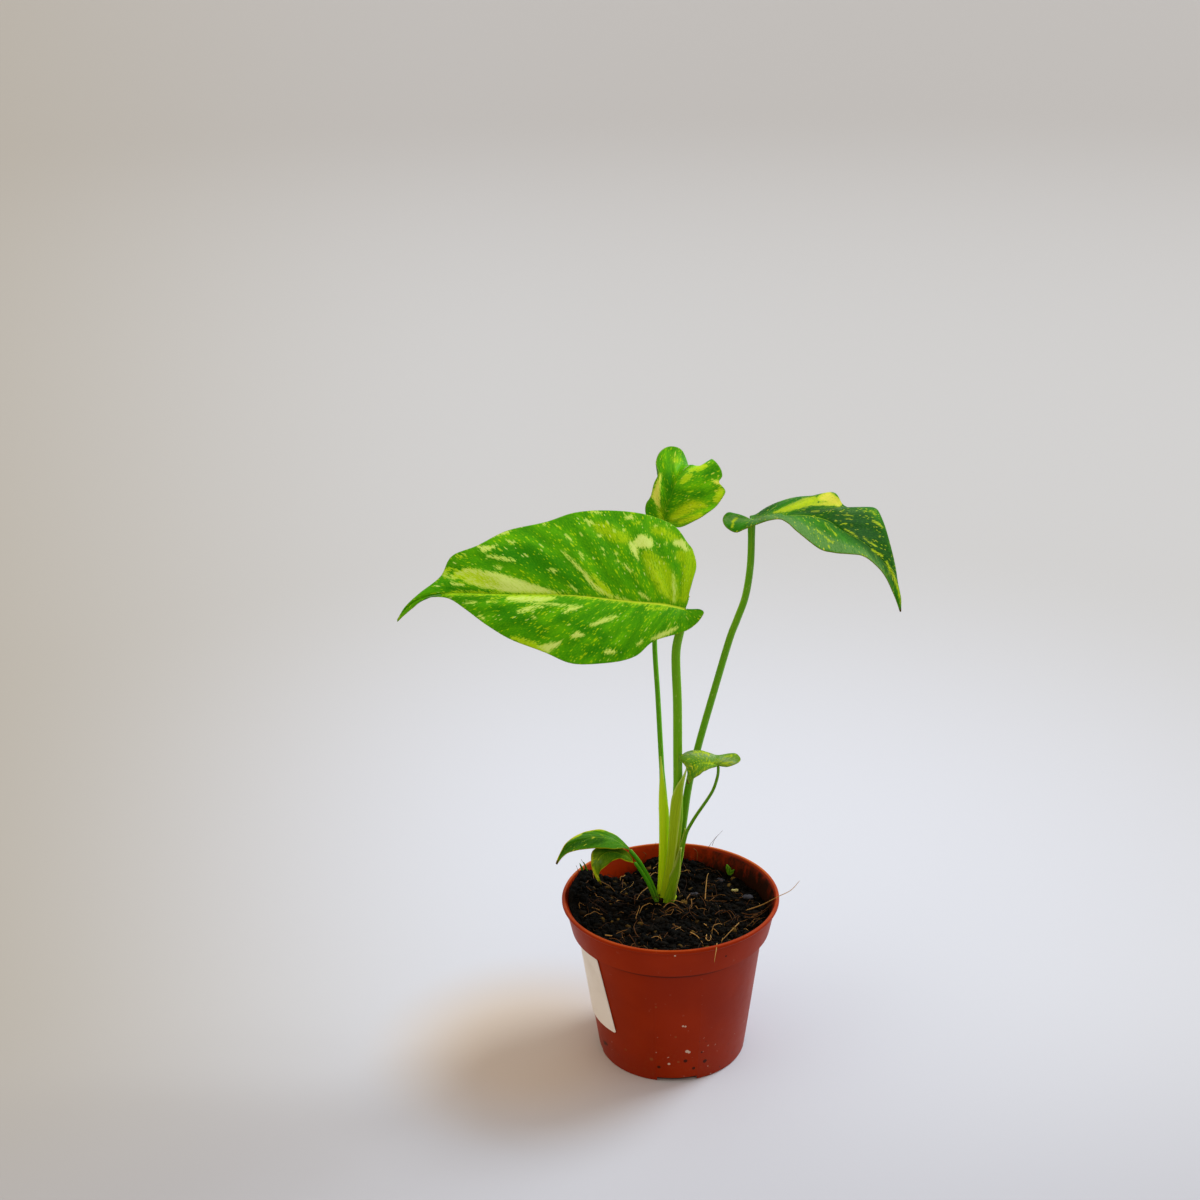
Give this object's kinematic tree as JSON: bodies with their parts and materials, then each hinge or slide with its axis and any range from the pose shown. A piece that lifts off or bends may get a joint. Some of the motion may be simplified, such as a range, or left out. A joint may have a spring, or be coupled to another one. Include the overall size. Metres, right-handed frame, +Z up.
{
  "type": "potted variegated aroid plant",
  "caption": "Young variegated climbing aroid with long-stalked heart-shaped blades in a small round terracotta-coloured nursery pot of potting mix.",
  "frame": {"origin": "on the pot's axis, in the plane that the pot stands on", "axes": "+Z up along the pot's axis, +X towards the right-hand blade, -Y towards the side that the large blade faces"},
  "size_m": [0.1968, 0.1164, 0.2469],
  "materials": {
    "pot_plastic": "satin terracotta-coloured moulded plastic, dusty",
    "label_paper": "blank matt white sticker",
    "potting_mix": "moist crumbly peat mix, rough",
    "leaf_green": "glossy living leaf, green splashed with cream and yellow-green",
    "stalk_green": "smooth fleshy stalk, satin",
    "root_pale": "fleshy stem base and roots, matt",
    "perlite": "matt porous grains",
    "bark": "matt dark chips",
    "root_fibre": "dry fibre, matt"
  },
  "bodies": {
    "root": {"pot": "pot_plastic", "pot_label": "label_paper", "soil": "potting_mix", "root_crown": "root_pale", "main_petiole": "stalk_green", "back_petiole": "stalk_green", "right_petiole": "stalk_green", "small_petiole": "stalk_green", "low_petiole_upper": "stalk_green", "low_petiole_lower": "stalk_green", "main_leaf": "leaf_green", "right_leaf": "leaf_green", "back_leaf": "leaf_green", "small_leaf": "leaf_green", "low_leaf_upper": "leaf_green", "low_leaf_lower": "leaf_green", "perlite_grain_large": "perlite", "perlite_grain_small": "perlite", "bark_chip_rear": "bark", "bark_chip_middle": "bark", "bark_chip_right": "bark", "root_fibre_over_rim": "root_fibre", "root_fibre_front": "root_fibre", "root_fibre_middle": "root_fibre"}
  },
  "joints": []
}
